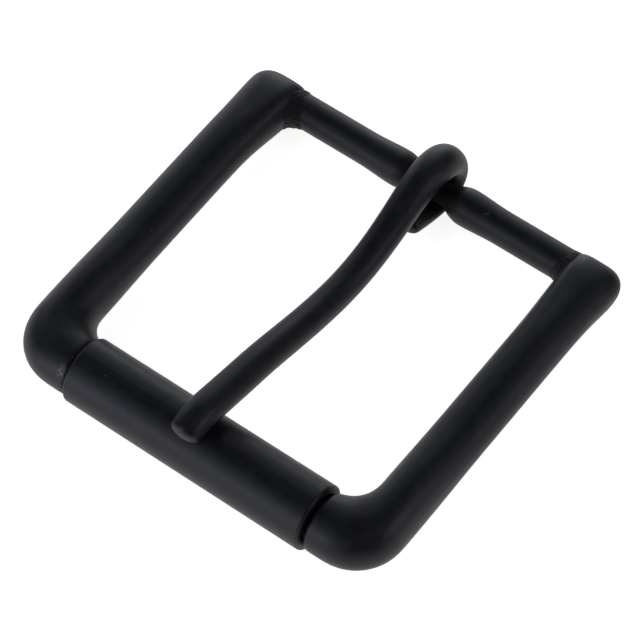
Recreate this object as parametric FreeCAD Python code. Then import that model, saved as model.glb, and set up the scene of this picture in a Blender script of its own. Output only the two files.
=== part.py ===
"""Roller belt buckle: welded wire frame, free-turning roller and hooked tongue.

Millimetres. +X runs along the roller to the right rail, +Y from the roller to the heel bar,
+Z up from the surface that the buckle lies on. The origin is under the middle of the buckle.
"""
import FreeCAD, Part
import math
import os

# Driving dimensions.
strap_width = 38.0
strap_play = 2.0
rail_width = 6.4
rail_height = 5.5
bar_spacing = 43.9            # roller axis to heel bar axis
front_bar_width = 7.2
corner_height = 7.3
corner_outer_radius = 6.3
corner_inner_radius = 3.9
corner_swell_length = 11.0    # stretch of rail that grows into the corner's height
shoulder_x = 17.05            # the front bar steps down to a thin core between the shoulders
edge_round = 0.6
core_radius = 2.75

roller_radius = 4.16
roller_wall = 0.9
roller_length = 33.6
roller_offset = 0.04
roller_seam = 0.35
roller_lift = 0.33            # the loose roller's axis lies above the front bar's

heel_axis_z = 2.8
heel_reach = 2.1             # rail ends beyond the heel bar axis
heel_length = 11.0            # over this length the rails change into their heel ends
heel_dip = 0.71               # whose tops are a little lower
inner_swell = 0.81            # low on the side of the heel bar
inner_edge = 0.6              # squarer top edge on that side
outer_swell = 0.4
outer_swell_length = 6.5
swell_angle = math.radians(27)
edge_angle = math.radians(48)
heel_outer_round = 2.3
heel_inner_round = 0.9
heel_top_round = 4.6

heel_bar_radius = 2.1
shoulder_radius = 2.33
shoulder_at = 4.8
shoulder_fade = 10.0
neck_radius = 1.4
neck_half_length = 2.2
# Weld metal at the left and the right joint: its length along the heel bar, and at the rail its
# height above the bar and how far its middle lies towards the strap window and down.
WELDS = {"left": (2.2, 0.4, 0.35, 0.2), "right": (1.3, 0.12, 0.1, 0.1)}
weld_rim = 0.05               # its height at its thin edge
weld_root = 1.2               # its length inside the joint

tongue_offset = 0.3
hook_back = 5.0               # hook's rearmost point, behind the heel bar axis
TONGUE_STEPS = 5              # rings of its skin between two stations
TONGUE_CAP = (25, 50, 70, 85) # degrees into the rounding of its ends
cap_depth = 0.5               # that rounding's depth, as a share of the half thickness

# Worked out from them.
inner_width = strap_width + strap_play
rail_x = (inner_width + rail_width) / 2
rail_a = rail_width / 2
rail_b = rail_height / 2
rail_z = roller_radius - roller_lift
heel_drop = rail_z - rail_b   # the heel ends reach the surface that the buckle lies on
front_a = front_bar_width / 2
heel_y = (bar_spacing + roller_radius - hook_back) / 2
roller_y = heel_y - bar_spacing
heel_end_y = heel_y + heel_reach

# Tongue stations from the hook's end, round the heel bar and along the shaft to the tip:
# place behind and above the heel bar axis, half width across and half thickness.
TONGUE = [
    (-5.5, -0.75, 1.8, 1.2),
    (-2.8, -1.6, 2.0, 1.12),
    (0.0, -2.15, 2.15, 0.6),
    (2.4, -1.3, 2.2, 0.95),
    (3.4, 0.7, 2.2, 1.56),
    (2.4, 2.85, 2.25, 1.9),
    (0.0, 3.91, 2.29, 1.95),
    (-4.6, 3.42, 2.06, 1.96),
    (-16.0, 0.74, 1.9, 1.91),
    (-29.8, 3.92, 1.98, 1.86),
    (-36.5, 5.74, 2.02, 1.86),
    (-41.0, 6.9, 2.03, 1.86),
    (-43.7, 7.44, 2.03, 1.84),
    (-46.1, 7.12, 1.98, 1.75),
]
SECTION_POINTS = 24
DOME_ANGLES = (84, 74, 63, 52, 40, 27, 13)
SHOULDER_ANGLES = (30, 60, 88)
RAIL_STEPS = 14
CORNER_STEPS = 12
FLANK_STEPS = 24
WELD_STEPS = 8
lip_share = 0.35              # rounding of the roller's rims, as a share of its wall
overlap = 1.5                 # how far a piece runs into another that it is joined to or cut by
# A cubic curve through evenly spaced poles lies inside them by this share.
POLE_SCALE = 3 / (2 + math.cos(2 * math.pi / SECTION_POINTS))
UP = FreeCAD.Vector(0, 0, 1)


def vec(x, y, z):
    return FreeCAD.Vector(x, y, z)


def smooth(t):
    """0 to 1 with level ends."""
    t = min(max(t, 0.0), 1.0)
    return t * t * (3 - 2 * t)


def arc_inset(depth, radius):
    """How far a rounded end of this radius has drawn in, at a depth into the rounding."""
    depth = min(max(depth, 0.0), radius)
    return radius - math.sqrt(radius * radius - depth * depth)


def knots(count, degree):
    """Even knots, clamped at both ends."""
    inner = count - degree - 1
    return [degree + 1] + [1] * inner + [degree + 1], [float(i) for i in range(inner + 2)]


def spans(last, size):
    """Whole-number stretches of about this size from 0 to last."""
    count = max(1, round(last / size))
    marks = [round(last * i / count) for i in range(count + 1)]
    return list(zip(marks, marks[1:]))


def skin(rings):
    """Solid whose smooth wall follows the rings, closed by a flat cap at each end."""
    around = len(rings[0])
    along_mults, along_knots = knots(len(rings), 3)
    wall = Part.BSplineSurface()
    wall.buildFromPolesMultsKnots(rings, along_mults, [1] * (around + 1), along_knots,
                                  [float(i) for i in range(around + 1)], False, True, 3, 3)
    faces = []
    for u0, u1 in spans(len(rings) - 3, 6):
        for v0, v1 in spans(around, around / 4):
            faces.append(wall.toShape(u0, u1, v0, v1))
    for u in (0, len(rings) - 3):
        rim = [wall.uIso(u).toShape(v0, v1) for v0, v1 in spans(around, around / 4)]
        faces.append(Part.Face(Part.Wire(rim)))
    shell = Part.Shell(faces)
    shell.sewShape()
    solid = Part.Solid(shell.Shells[0])
    if solid.Volume < 0:
        solid.reverse()
    return solid


def section(centre, outward, outer, inner, top, bottom, swells=()):
    """Rounded section whose four half sizes differ, with swellings on it.

    A swelling is (height, angle, power), a higher power making it narrower."""
    points = []
    for i in range(SECTION_POINTS):
        t = 2 * math.pi * i / SECTION_POINTS
        across = POLE_SCALE * math.cos(t) * (outer if math.cos(t) > 0 else inner)
        up = POLE_SCALE * math.sin(t) * (top if math.sin(t) > 0 else bottom)
        for swell, angle, power in swells:
            amount = swell * max(0.0, math.cos(t - angle)) ** power
            across += amount * math.cos(angle)
            up += amount * math.sin(angle)
        points.append(centre + outward * across + UP * up)
    return points


def corner_share(y):
    """How much of the front corner's extra height the rail has at y."""
    start = roller_y + front_a + corner_inner_radius
    return smooth(1 - (y - start) / corner_swell_length)


def rail_section(y):
    """Section of the right rail at y, rounded off towards the heel end."""
    heel = smooth(1 - (heel_y - y) / heel_length)
    flare = smooth(1 - (heel_y - y) / outer_swell_length)
    half = rail_b + (corner_height / 2 - rail_b) * corner_share(y)
    inset = {r: arc_inset(y - heel_end_y + r, r) for r in
             (heel_outer_round, heel_inner_round, heel_top_round)}
    keep = 1 - inset[heel_top_round] / heel_top_round
    swells = ((inner_swell * heel * keep, math.pi + swell_angle, 3),
              (inner_edge * heel * keep, math.pi - edge_angle, 8),
              (outer_swell * flare * keep, -swell_angle, 3))
    return section(vec(rail_x, y, rail_z), vec(1, 0, 0),
                   rail_a - inset[heel_outer_round], rail_a - inset[heel_inner_round],
                   (half - heel_dip * heel) * keep, (half + heel_drop * heel) * keep, swells)


def outer_corner(s):
    """Plan point of the outer outline, s from 0 where the inner bend starts to 1 at the shoulder."""
    x, y = rail_x + rail_a, roller_y - front_a
    radius = corner_outer_radius
    straight = front_a * 2 + corner_inner_radius - radius
    turn = radius * math.pi / 2
    last = x - radius - shoulder_x - edge_round
    along = s * (straight + turn + last)
    if along < straight:
        return vec(x, y + radius + straight - along, 0)
    if along < straight + turn:
        angle = (along - straight) / radius
        return vec(x - radius + radius * math.cos(angle), y + radius - radius * math.sin(angle), 0)
    return vec(x - radius - (along - straight - turn), y, 0)


def inner_corner(s):
    """Plan point of the inner outline at the same share of the way."""
    radius = corner_inner_radius
    centre = vec(rail_x - rail_a - radius, roller_y + front_a + radius, 0)
    angle = s * math.acos((shoulder_x + edge_round - centre.x) / radius)
    return centre + vec(radius * math.cos(angle), -radius * math.sin(angle), 0)


def corner_section(s):
    outer, inner = outer_corner(s), inner_corner(s)
    half = (outer - inner).Length / 2
    height = corner_height / 2
    return section((outer + inner) / 2 + UP * rail_z, (outer - inner).normalize(),
                   half, half, height, height)


def shoulder_section(angle):
    """Section in the rounded edge of the shoulder, angle from 0 to a right angle."""
    outer, inner = outer_corner(1), inner_corner(1)
    inset = edge_round * (1 - math.cos(angle))
    half = (outer - inner).Length / 2 - inset
    height = corner_height / 2 - inset
    place = (outer + inner) / 2 + UP * rail_z - vec(edge_round * math.sin(angle), 0, 0)
    return section(place, (outer - inner).normalize(), half, half, height, height)


def frame_half():
    """Right rail with its heel end and front corner, down to the shoulder's face."""
    start = heel_end_y - heel_top_round
    end = roller_y + front_a + corner_inner_radius
    ys = [start + heel_top_round * math.sin(math.radians(a)) for a in DOME_ANGLES]
    ys += [start + (end - start) * i / RAIL_STEPS for i in range(RAIL_STEPS)]
    rings = [rail_section(y) for y in ys]
    rings += [corner_section(i / CORNER_STEPS) for i in range(CORNER_STEPS + 1)]
    rings += [shoulder_section(math.radians(a)) for a in SHOULDER_ANGLES]
    return skin(rings)


def make_frame():
    right = frame_half()
    left = right.mirror(vec(0, 0, 0), vec(1, 0, 0))
    reach = shoulder_x + overlap
    core = Part.makeCylinder(core_radius, 2 * reach, vec(-reach, roller_y, rail_z), vec(1, 0, 0))
    return right.fuse([left, core]).removeSplitter()


def heel_radius(x):
    """Radius of the heel bar: a neck for the hook, a shoulder each side, then a plain rod."""
    x = abs(x - tongue_offset)
    if x < shoulder_at:
        rise = smooth((x - neck_half_length) / (shoulder_at - neck_half_length))
        return neck_radius + (shoulder_radius - neck_radius) * math.sqrt(rise)
    fade = smooth((x - shoulder_at) / (shoulder_fade - shoulder_at))
    return shoulder_radius + (heel_bar_radius - shoulder_radius) * fade


def bar_edge(start, end, steps):
    """Outline of the heel bar above its axis: a straight line or a curve through the steps."""
    xs = [start + (end - start) * i / steps for i in range(steps + 1)]
    points = [vec(x, heel_y, heel_axis_z + heel_radius(x)) for x in xs]
    if steps == 1:
        return Part.LineSegment(*points).toShape()
    curve = Part.BSplineCurve()
    curve.interpolate(points)
    return curve.toShape()


def make_heel_bar(frame):
    reach = inner_width / 2 + overlap
    flank = (neck_half_length, shoulder_fade)
    marks = [-reach] + [tongue_offset - x for x in reversed(flank)]
    marks += [tongue_offset + x for x in flank] + [reach]
    steps = (1, FLANK_STEPS, 1, FLANK_STEPS, 1)
    outline = [bar_edge(*run) for run in zip(marks, marks[1:], steps)]
    ends = [vec(x, heel_y, heel_axis_z) for x in (-reach, reach)]
    axis = [Part.LineSegment(end, end + UP * heel_radius(end.x)).toShape() for end in ends]
    axis.append(Part.LineSegment(*ends).toShape())
    wire = Part.Wire(Part.__sortEdges__(outline + axis))
    return Part.Face(wire).revolve(ends[0], vec(1, 0, 0), 360).cut(frame)


def make_weld_bead(name, side, frame, heel_bar):
    """Collar of weld metal that fills the corner between the heel bar and a rail."""
    length, height, shift, drop = WELDS[name]
    edge = inner_width / 2 - length
    rings = []
    for i in range(WELD_STEPS + 1):
        x = edge + (length + weld_root) * i / WELD_STEPS
        share = min(1, (x - edge) / length) ** 2
        radius = heel_bar_radius + weld_rim + height * share
        middle = vec(side * x, heel_y - shift * share, heel_axis_z - drop * share)
        rings.append(section(middle, vec(0, 1, 0), radius, radius, radius, radius))
    return skin(rings).cut(frame).cut(heel_bar)


def make_roller():
    """Sheet tube rolled round the front bar, with turned lips and a seam underneath."""
    start = roller_offset - roller_length / 2
    base = vec(start, roller_y, roller_radius)
    tube = Part.makeCylinder(roller_radius, roller_length, base, vec(1, 0, 0))
    tube = tube.makeFillet(roller_wall * lip_share, [e for e in tube.Edges if e.Closed])
    through = roller_length + 2 * overlap
    bore = Part.makeCylinder(roller_radius - roller_wall, through, base - vec(overlap, 0, 0),
                             vec(1, 0, 0))
    slit = Part.makeBox(through, roller_seam, roller_radius + overlap,
                        vec(start - overlap, roller_y - roller_seam / 2, -overlap))
    return tube.cut(bore).cut(slit)


def tongue_ring(line, size, station, lean):
    """Oval ring square to the tongue's run, lean being the angle into the rounding of an end."""
    place, along = line.getD1(station)
    along.normalize()
    width, thickness, _ = size.value(station)
    place += along * thickness * cap_depth * math.sin(lean)
    across = vec(1, 0, 0) * width * math.cos(lean)
    normal = along.cross(vec(1, 0, 0)) * thickness * math.cos(lean)
    points = []
    for i in range(SECTION_POINTS):
        t = 2 * math.pi * i / SECTION_POINTS
        points.append(place + (across * math.cos(t) + normal * math.sin(t)) * POLE_SCALE)
    return points


def make_tongue():
    """Prong bent from a tapering bar: a hook closed round the heel bar and a sagging shaft.

    Its tip dips over the roller."""
    stations = list(range(len(TONGUE)))
    line = Part.BSplineCurve()
    line.interpolate(Points=[vec(tongue_offset, heel_y + y, heel_axis_z + z)
                             for y, z, _, _ in TONGUE], Parameters=stations)
    size = Part.BSplineCurve()
    size.interpolate(Points=[vec(width, thickness, 0) for _, _, width, thickness in TONGUE],
                     Parameters=stations)
    last = stations[-1]
    cap = [math.radians(a) for a in TONGUE_CAP]
    rings = [tongue_ring(line, size, 0, -lean) for lean in reversed(cap)]
    for i in range(last * TONGUE_STEPS + 1):
        rings.append(tongue_ring(line, size, i / TONGUE_STEPS, 0))
    rings += [tongue_ring(line, size, last, lean) for lean in cap]
    return skin(rings)


def main():
    os.makedirs("parts", exist_ok=True)
    frame = make_frame()
    heel_bar = make_heel_bar(frame)
    nodes = {
        "frame": frame,
        "heel_bar": heel_bar,
        "weld_bead_left": make_weld_bead("left", -1, frame, heel_bar),
        "weld_bead_right": make_weld_bead("right", 1, frame, heel_bar),
        "roller": make_roller(),
        "tongue": make_tongue(),
    }
    for name, shape in nodes.items():
        shape.exportStep("parts/" + name + ".step")
        box = shape.BoundBox
        print(name, len(shape.Solids), shape.isValid(), round(shape.Volume, 1),
              [round(v, 2) for v in (box.XMin, box.XMax, box.YMin, box.YMax, box.ZMin, box.ZMax)])


main()
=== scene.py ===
"""Looks of the roller belt buckle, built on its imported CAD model. Metres, in the CAD's frame."""
import bpy
import math
from mathutils import Matrix, Vector, noise
from mathutils.bvhtree import BVHTree


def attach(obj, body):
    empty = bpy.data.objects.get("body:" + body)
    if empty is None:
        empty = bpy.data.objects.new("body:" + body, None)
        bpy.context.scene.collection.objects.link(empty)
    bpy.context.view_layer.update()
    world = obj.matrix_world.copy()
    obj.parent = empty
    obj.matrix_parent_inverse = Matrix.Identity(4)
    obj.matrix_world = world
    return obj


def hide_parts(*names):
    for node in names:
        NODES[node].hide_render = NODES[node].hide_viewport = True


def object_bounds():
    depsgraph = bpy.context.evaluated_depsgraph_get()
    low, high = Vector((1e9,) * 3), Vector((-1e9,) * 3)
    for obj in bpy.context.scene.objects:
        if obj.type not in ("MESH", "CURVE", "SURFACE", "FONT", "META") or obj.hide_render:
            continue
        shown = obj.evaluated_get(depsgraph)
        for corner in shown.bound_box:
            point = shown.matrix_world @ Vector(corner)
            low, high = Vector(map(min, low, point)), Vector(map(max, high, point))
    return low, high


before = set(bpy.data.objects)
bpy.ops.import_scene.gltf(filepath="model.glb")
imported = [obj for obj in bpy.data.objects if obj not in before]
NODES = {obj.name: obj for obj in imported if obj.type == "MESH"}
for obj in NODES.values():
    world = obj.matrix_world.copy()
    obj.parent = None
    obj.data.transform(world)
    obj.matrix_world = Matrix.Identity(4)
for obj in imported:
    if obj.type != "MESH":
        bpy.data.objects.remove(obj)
CAD_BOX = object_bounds()
scene = bpy.context.scene
MM = 0.001

# Sizes that part.py gives these pieces.
BAR_AXIS = Vector((0.0, 21.53, 2.8)) * MM
BAR_RADIUS = 2.1 * MM
RAIL_FACE = 20.0 * MM
BAR_END = 21.6 * MM

# The view, in degrees and metres.
VIEW_AZIMUTH, VIEW_ELEVATION, VIEW_ROLL = 42.17, 57.38, -5.71
VIEW_DISTANCE = 0.45
VIEW_AIM = Vector((0.53, -0.88, 2.86)) * MM
VIEW_LENS = 220.3


# ---------------------------------------------------------------- camera, floor and light
def direction(azimuth, elevation):
    """Unit vector towards something seen at this azimuth and elevation from the buckle."""
    a, e = math.radians(azimuth), math.radians(elevation)
    return Vector((math.sin(a) * math.cos(e), -math.cos(a) * math.cos(e), math.sin(e)))


def make_camera():
    """Long lens from above the front right, so the buckle's near and far sides look alike."""
    back = direction(VIEW_AZIMUTH, VIEW_ELEVATION)
    level = Vector((0, 0, 1)).cross(back).normalized()
    right = Matrix.Rotation(math.radians(VIEW_ROLL), 3, back) @ level
    turn = Matrix((right, back.cross(right), back)).transposed()
    camera = bpy.data.objects.new("camera", bpy.data.cameras.new("camera"))
    scene.collection.objects.link(camera)
    camera.matrix_world = Matrix.LocRotScale(VIEW_AIM + back * VIEW_DISTANCE, turn, None)
    camera.data.lens = VIEW_LENS
    camera.data.clip_start = 0.01
    scene.camera = camera


COOL = (0.84, 0.89, 1.0)
VIOLET = (0.73, 0.745, 1.0)
NEUTRAL = (0.95, 0.97, 1.0)
# Softboxes: azimuth, elevation, power in watts and tint. The low ones make the sheen along the
# bars' sides, and the high ones lift the dark bands on top.
SOFTBOXES = [
    (330, 8, 2.6, VIOLET),
    (210, 8, 1.9, COOL),
    (240, 8, 0.75, COOL),
    (105, 26, 2.2, VIOLET),
    (345, 26, 1.7, COOL),
    (255, 26, 0.9, COOL),
    (195, 26, 0.5, COOL),
    (324, 46, 0.6, COOL),
    (216, 46, 0.55, NEUTRAL),
    (144, 46, 0.5, COOL),
    (70, 67, 0.35, NEUTRAL),
    (250, 67, 0.07, NEUTRAL),
]
SOFTBOX_WIDTH = 0.4
SOFTBOX_DISTANCE = 1.0
FLOOR_GLOW = (0.88, 0.872, 0.85)
WALL_GLOW = (1.0, 1.0, 1.0)
PALE = (0.9, 0.9, 0.9, 1)


def make_lights():
    for azimuth, elevation, watts, tint in SOFTBOXES:
        light = bpy.data.lights.new("softbox", "AREA")
        light.shape = "DISK"
        light.size = SOFTBOX_WIDTH
        light.energy = watts
        light.color = tint
        lamp = bpy.data.objects.new("softbox", light)
        scene.collection.objects.link(lamp)
        towards = direction(azimuth, elevation)
        lamp.location = towards * SOFTBOX_DISTANCE
        lamp.rotation_euler = (-towards).to_track_quat("-Z", "Y").to_euler()
        lamp.visible_camera = False


def glowing_material(name, glow):
    material = bpy.data.materials.new(name)
    material.use_nodes = True
    shader = material.node_tree.nodes["Principled BSDF"]
    shader.inputs["Base Color"].default_value = PALE
    shader.inputs["Roughness"].default_value = 0.9
    shader.inputs["Emission Color"].default_value = (*glow, 1)
    shader.inputs["Emission Strength"].default_value = 1.0
    return material


def make_stage():
    """A pale light table, and a pale wall round it that only the camera sees."""
    radius, height, steps = 2.5, 2.5, 96
    z = CAD_BOX[0].z - 0.02 * MM
    angles = [2 * math.pi * i / steps for i in range(steps)]
    ring = [(radius * math.cos(a), radius * math.sin(a)) for a in angles]
    mesh = bpy.data.meshes.new("floor")
    mesh.from_pydata([(x, y, z) for x, y in ring], [], [tuple(range(steps))])
    floor = bpy.data.objects.new("floor", mesh)
    mesh.materials.append(glowing_material("pale_floor", FLOOR_GLOW))
    points = [(x, y, h) for h in (z, height) for x, y in ring] + [(0, 0, height)]
    quads = [(i, (i + 1) % steps, steps + (i + 1) % steps, steps + i) for i in range(steps)]
    roof = [(steps + i, steps + (i + 1) % steps, 2 * steps) for i in range(steps)]
    mesh = bpy.data.meshes.new("wall")
    mesh.from_pydata(points, [], quads + roof)
    wall = bpy.data.objects.new("wall", mesh)
    mesh.materials.append(glowing_material("pale_wall", WALL_GLOW))
    for part in (floor, wall):
        scene.collection.objects.link(part)
    wall.visible_diffuse = wall.visible_glossy = wall.visible_shadow = False
    scene.world = bpy.data.worlds.new("world")
    scene.world.color = (0, 0, 0)
    scene.view_settings.view_transform = "Standard"


# ---------------------------------------------------------------- materials
class Nodes:
    """Short calls for building a node tree."""

    def __init__(self, name):
        self.material = bpy.data.materials.new(name)
        self.material.use_nodes = True
        self.tree = self.material.node_tree
        self.shader = self.tree.nodes["Principled BSDF"]
        self.place = self.tree.nodes.new("ShaderNodeTexCoord").outputs["Object"]

    def put(self, socket, value):
        if isinstance(value, bpy.types.NodeSocket):
            self.tree.links.new(value, socket)
        else:
            socket.default_value = value

    def math(self, operation, *values):
        node = self.tree.nodes.new("ShaderNodeMath")
        node.operation = operation
        for socket, value in zip(node.inputs, values):
            self.put(socket, value)
        return node.outputs[0]

    def vector(self, operation, *values):
        node = self.tree.nodes.new("ShaderNodeVectorMath")
        node.operation = operation
        for socket, value in zip(node.inputs, values):
            self.put(socket, value)
        return node.outputs["Value" if operation in ("DISTANCE", "DOT_PRODUCT") else "Vector"]

    def ramp(self, value, low, high, to_low=0.0, to_high=1.0):
        node = self.tree.nodes.new("ShaderNodeMapRange")
        node.interpolation_type = "SMOOTHSTEP"
        for socket, number in zip(node.inputs, (value, low, high, to_low, to_high)):
            self.put(socket, number)
        return node.outputs[0]

    def noise(self, size, detail=2.0, roughness=0.5, shift=0.0):
        """Noise with features about this many metres across."""
        node = self.tree.nodes.new("ShaderNodeTexNoise")
        self.put(node.inputs["Vector"], self.vector("ADD", self.place, (shift, shift, shift)))
        node.inputs["Scale"].default_value = 1 / size
        node.inputs["Detail"].default_value = detail
        node.inputs["Roughness"].default_value = roughness
        return node.outputs["Factor" if "Factor" in node.outputs else "Fac"]

    def mix(self, share, a, b):
        node = self.tree.nodes.new("ShaderNodeMix")
        node.data_type = "RGBA"
        for socket, value in zip((node.inputs[0], node.inputs[6], node.inputs[7]), (share, a, b)):
            self.put(socket, value)
        return node.outputs[2]

    def specks(self, spacing, radius, rarity):
        """Small dots, one in about every spacing, of which a share are left out."""
        node = self.tree.nodes.new("ShaderNodeTexVoronoi")
        self.put(node.inputs["Vector"], self.place)
        node.inputs["Scale"].default_value = 1 / spacing
        chosen = self.math("GREATER_THAN", self.vector("DOT_PRODUCT", node.outputs["Color"],
                                                       (1, 0, 0)), rarity)
        dot = self.ramp(node.outputs["Distance"], radius / spacing, 0.3 * radius / spacing)
        return self.math("MULTIPLY", dot, chosen)

    def bump(self, height, strength, distance, below=None):
        node = self.tree.nodes.new("ShaderNodeBump")
        node.inputs["Strength"].default_value = strength
        node.inputs["Distance"].default_value = distance
        self.put(node.inputs["Height"], height)
        if below is not None:
            self.put(node.inputs["Normal"], below)
        return node.outputs[0]


BLACK = (0.0045, 0.0048, 0.0054, 1)
BLACK_LIGHTER = (0.0085, 0.009, 0.0105, 1)
DUST = (0.16, 0.165, 0.17, 1)
# Painted shade: near black for the heel bar's neck beside the tongue's hook, where the hook shades
# it.
PAINTED_SHADE_BLACK = (0.0015, 0.0015, 0.0017, 1)
PIT_BLACK = (0.003, 0.003, 0.0035, 1)
GLINT_GREY = (0.016, 0.017, 0.02, 1)
COAT_ROUGHNESS = (0.425, 0.505)
COAT_SHEEN = 0.25             # specular levels of the coating and of weld metal
WELD_SHEEN = 0.22
NICK_WIDTH = 0.075 * MM
NICK_FACING = (1, -0.6, 0)    # the side of a nick's ring that is raised
MARK_DEPTH = (1, 1, 0.35)     # marks reach further down into the surface than across it


def add_nick(n, middle, radius, away, normal, pale):
    """Small raised crescent."""
    ring = n.ramp(n.math("ABSOLUTE", n.math("SUBTRACT", away, radius)), NICK_WIDTH, 0.0)
    side = n.vector("DOT_PRODUCT", n.vector("SUBTRACT", n.place, middle), NICK_FACING)
    ring = n.math("MULTIPLY", ring, n.ramp(side, -0.25 * radius, 0.25 * radius))
    normal = n.bump(ring, 0.9, 0.06 * MM, normal)
    return normal, n.math("MAXIMUM", pale, n.math("MULTIPLY", ring, 0.40))


def add_scuff(n, radius, away, peel, pale):
    """Pale smudge, broken up by the orange peel."""
    rough = n.math("MULTIPLY", n.ramp(away, radius, 0.0), n.ramp(peel, 0.38, 0.62))
    return n.math("MAXIMUM", pale, n.math("MULTIPLY", rough, 0.8))


def add_painted_shade(n, middle_x, half_width, color, dull):
    """Stretch of the bar with painted shade: a darker base colour where the tongue's hook shades
    it, made rougher too, with soft ends.
    """
    across = n.vector("DOT_PRODUCT", n.place, (1, 0, 0))
    from_middle = n.math("ABSOLUTE", n.math("SUBTRACT", across, middle_x))
    # Share of painted shade, full in the middle of the stretch.
    shade_share = n.ramp(from_middle, half_width + 0.5 * MM, half_width - 0.5 * MM)
    return n.mix(shade_share, color, PAINTED_SHADE_BLACK), n.math("ADD", dull, n.math("MULTIPLY", shade_share, 0.3))


def coat(name, marks=(), shift=0.0, painted_shade_band=None):
    """Matte black coating: fine orange peel, soft patches, a few dust specks, and marks.

    A mark is (x, y, z in mm, radius in mm, kind), its kind being nick or scuff. The painted shade
    band is the middle x and the half width, in mm, of a stretch darkened with painted shade."""
    n = Nodes(name)
    peel = n.noise(0.22 * MM, 3.0, 0.55, shift)
    grit = n.noise(0.07 * MM, 2.0, 0.6, shift)
    sway = n.noise(3.2 * MM, 2.0, 0.5, shift)
    patch = n.noise(1.3 * MM, 4.0, 0.6, shift + 0.1)
    color = n.mix(n.ramp(patch, 0.35, 0.7), BLACK, BLACK_LIGHTER)
    specks = n.specks(1.9 * MM, 0.075 * MM, 0.72)
    normal = n.bump(sway, 0.35, 0.12 * MM)
    normal = n.bump(peel, 0.30, 0.02 * MM, normal)
    normal = n.bump(grit, 0.22, 0.008 * MM, normal)
    pale = n.math("MULTIPLY", specks, 0.55)
    for x, y, z, radius, kind in marks:
        middle = (x * MM, y * MM, z * MM)
        away = n.vector("DISTANCE", n.vector("MULTIPLY", n.place, MARK_DEPTH),
                        [m * f for m, f in zip(middle, MARK_DEPTH)])
        if kind == "nick":
            normal, pale = add_nick(n, middle, radius * MM, away, normal, pale)
        else:
            pale = add_scuff(n, radius * MM, away, peel, pale)
    dull = n.ramp(patch, 0.25, 0.75, *COAT_ROUGHNESS)
    # Painted shade laid into the colour beside the hook, plus a rougher finish there.
    if painted_shade_band:
        color, dull = add_painted_shade(n, painted_shade_band[0] * MM, painted_shade_band[1] * MM, color, dull)
    n.put(n.shader.inputs["Base Color"], n.mix(pale, color, DUST))
    n.put(n.shader.inputs["Roughness"], dull)
    n.put(n.shader.inputs["Normal"], normal)
    n.shader.inputs["Specular IOR Level"].default_value = COAT_SHEEN
    return n.material


def weld_grain(name):
    """Pitted weld metal under the coating: darker and rougher, with small glints."""
    n = Nodes(name)
    pits = n.noise(0.16 * MM, 4.0, 0.7)
    lumps = n.noise(0.45 * MM, 2.0, 0.5, 0.3)
    n.put(n.shader.inputs["Base Color"],
          n.mix(n.ramp(pits, 0.5, 0.75), PIT_BLACK, GLINT_GREY))
    n.put(n.shader.inputs["Roughness"], n.ramp(pits, 0.3, 0.7, 0.62, 0.42))
    normal = n.bump(lumps, 0.6, 0.12 * MM)
    n.put(n.shader.inputs["Normal"], n.bump(pits, 0.8, 0.09 * MM, normal))
    n.shader.inputs["Specular IOR Level"].default_value = WELD_SHEEN
    return n.material


# ---------------------------------------------------------------- weld beads
WELD_AROUND = 220             # points round the bar
WELD_ACROSS = 46              # points from the bar over onto the rail's flank
WELD_ROOT = 16                # points on along the bar into the rounded rail end
WELD_FILM = BAR_RADIUS + 0.07 * MM
THINNEST_AT = math.radians(35)  # from the back of the bar; fullest opposite, at the window
LUMP_SIZE = 0.42 * MM
PIT_SIZE = 0.30 * MM
CAP_DEPTH = 1.1 * MM
RAY_REACH = 24.0 * MM


def surface(node):
    mesh = NODES[node].data
    return BVHTree.FromPolygons([v.co for v in mesh.vertices],
                                [p.vertices[:] for p in mesh.polygons])


def cast(rail, point, side):
    """Where a line along the heel bar through this point meets the rail, or None."""
    return rail.ray_cast(Vector((0, point.y, point.z)), Vector((side, 0, 0)), RAY_REACH)[0]


def on_rail(rail, out, side, reach):
    """The bar's foot at the rail, and how far out from it the flank can hold weld metal."""
    skin_deep = out * BAR_RADIUS * 0.97
    foot = cast(rail, BAR_AXIS + skin_deep, side)
    if foot is None:
        foot = BAR_AXIS + skin_deep + Vector((side * RAIL_FACE, 0, 0))
    while reach > WELD_FILM:
        hit = cast(rail, BAR_AXIS + out * reach, side)
        if hit is not None:
            return foot, hit
        reach -= 0.05 * MM
    hit = BAR_AXIS + out * WELD_FILM
    hit.x = foot.x
    return foot, hit


def lumps(point):
    return noise.fractal(point * (1 / LUMP_SIZE), 0.7, 2.1, 4)


def weld_fillet(out, side, run, foot, hit, grain):
    """Row of points that curves from the bar's surface over onto the rail's flank."""
    near = BAR_AXIS + out * BAR_RADIUS * 0.985
    near.x = foot.x - side * run
    bend = BAR_AXIS + out * (BAR_RADIUS + 0.10 * MM)
    bend.x = foot.x - side * 0.12 * MM
    lift = (out - Vector((side, 0, 0))).normalized()
    row = []
    for j in range(WELD_ACROSS):
        t = j / (WELD_ACROSS - 1)
        p = near * (1 - t) ** 2 + bend * 2 * t * (1 - t) + hit * t * t
        fade = min(1.0, 5 * t, 5 * (1 - t))
        pit = max(0.0, noise.noise(p * (1 / PIT_SIZE) + Vector((7, 3, 1))) - 0.1)
        edge = 0.035 * MM * (fade * 2 - 1)
        row.append(p + lift * (edge + fade * grain * (lumps(p) - 1.3 * pit)))
    return row


def weld_root(out, side, hit, grain):
    """Row of points on along the bar from the fillet, closing in a dome past the bar's end."""
    away = Vector((0, hit.y - BAR_AXIS.y, hit.z - BAR_AXIS.z)).length
    row = []
    for j in range(1, WELD_ROOT + 1):
        share = j / WELD_ROOT
        if share < 0.5:
            radius = away + (WELD_FILM - away) * min(1.0, 5 * share)
            x = abs(hit.x) + (BAR_END - abs(hit.x)) * 2 * share
        else:
            turn = math.pi * (share - 0.5)
            radius = WELD_FILM * math.cos(turn)
            x = BAR_END + CAP_DEPTH * math.sin(turn)
        p = BAR_AXIS + out * radius
        p.x = side * x
        row.append(p + out * 0.5 * grain * lumps(p))
    return row


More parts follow.
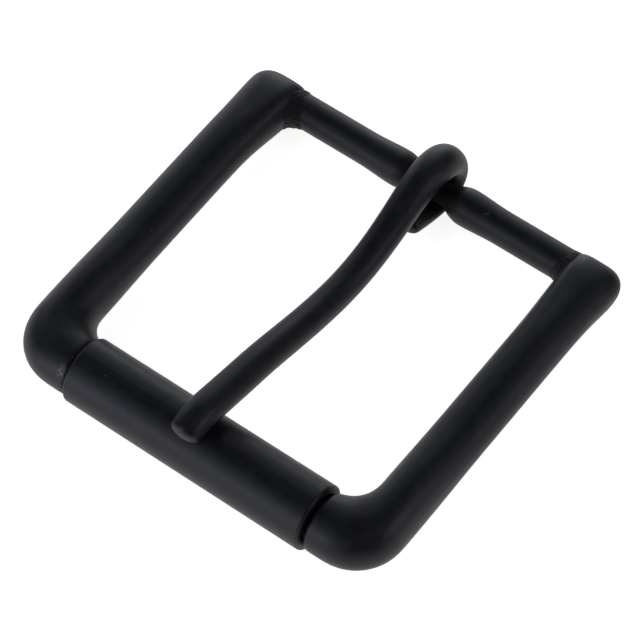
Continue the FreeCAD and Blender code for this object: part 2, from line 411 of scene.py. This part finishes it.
def make_weld(name, side, length, spread, grain):
    """Weld metal from the heel bar over into the rail's flank, with a pitted, lumpy surface.

    It runs length along the bar and up to spread out on the flank, most towards the window,
    and goes on along the bar into the rounded rail end."""
    rail = surface("frame")
    points = []
    for i in range(WELD_AROUND):
        a = 2 * math.pi * i / WELD_AROUND
        out = Vector((0, math.cos(a), math.sin(a)))
        facing = 0.5 - 0.5 * math.cos(a - THINNEST_AT)
        uneven = 1 + 0.16 * noise.noise(out * 3.1 + Vector((side, 0, 0)))
        run = length * (0.55 + 0.45 * facing) * uneven
        foot, hit = on_rail(rail, out, side, BAR_RADIUS + spread * facing)
        points += weld_fillet(out, side, run, foot, hit, grain)
        points += weld_root(out, side, hit, grain)
    row = WELD_ACROSS + WELD_ROOT
    faces = []
    for i in range(WELD_AROUND):
        k = (i + 1) % WELD_AROUND
        for j in range(row - 1):
            quad = (i * row + j, i * row + j + 1, k * row + j + 1, k * row + j)
            faces.append(quad if side > 0 else quad[::-1])
    mesh = bpy.data.meshes.new(name)
    mesh.from_pydata(points, [], faces)
    mesh.polygons.foreach_set("use_smooth", [True] * len(faces))
    bead = bpy.data.objects.new(name, mesh)
    scene.collection.objects.link(bead)
    mesh.materials.append(weld_grain(name + "_grain"))
    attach(bead, "frame_body")
    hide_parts("weld_bead_" + name.split("_")[-1])


# ---------------------------------------------------------------- the scene
def dress(node, material):
    mesh = NODES[node].data
    mesh.materials.clear()
    mesh.materials.append(material)
    mesh.polygons.foreach_set("material_index", [0] * len(mesh.polygons))


make_camera()
make_lights()
make_stage()
dress("frame", coat("frame_coat", [
    (20.72, 18.1, 5.46, 0.2, "scuff"),
    (-17.7, -24.98, 6.11, 1.0, "scuff"),
    (21.2, -12.05, 6.4, 0.26, "nick"),
    (-21.48, -3.96, 6.13, 0.14, "scuff"),
]))
# The heel bar's neck beside the hook gets painted shade (middle x and half width in mm).
dress("heel_bar", coat("heel_bar_coat", [(8.2, 21.1, 4.8, 0.27, "nick")], shift=0.2,
                       painted_shade_band=(0.3, 3.4)))
dress("roller", coat("roller_coat", [(-12.41, -23.34, 8.09, 0.14, "scuff")], shift=0.4))
dress("tongue", coat("tongue_coat", [(1.57, -21.5, 11.5, 0.27, "nick")], shift=0.6))
make_weld("weld_metal_left", -1, 2.2 * MM, 1.5 * MM, 0.10 * MM)
make_weld("weld_metal_right", 1, 1.5 * MM, 0.6 * MM, 0.08 * MM)
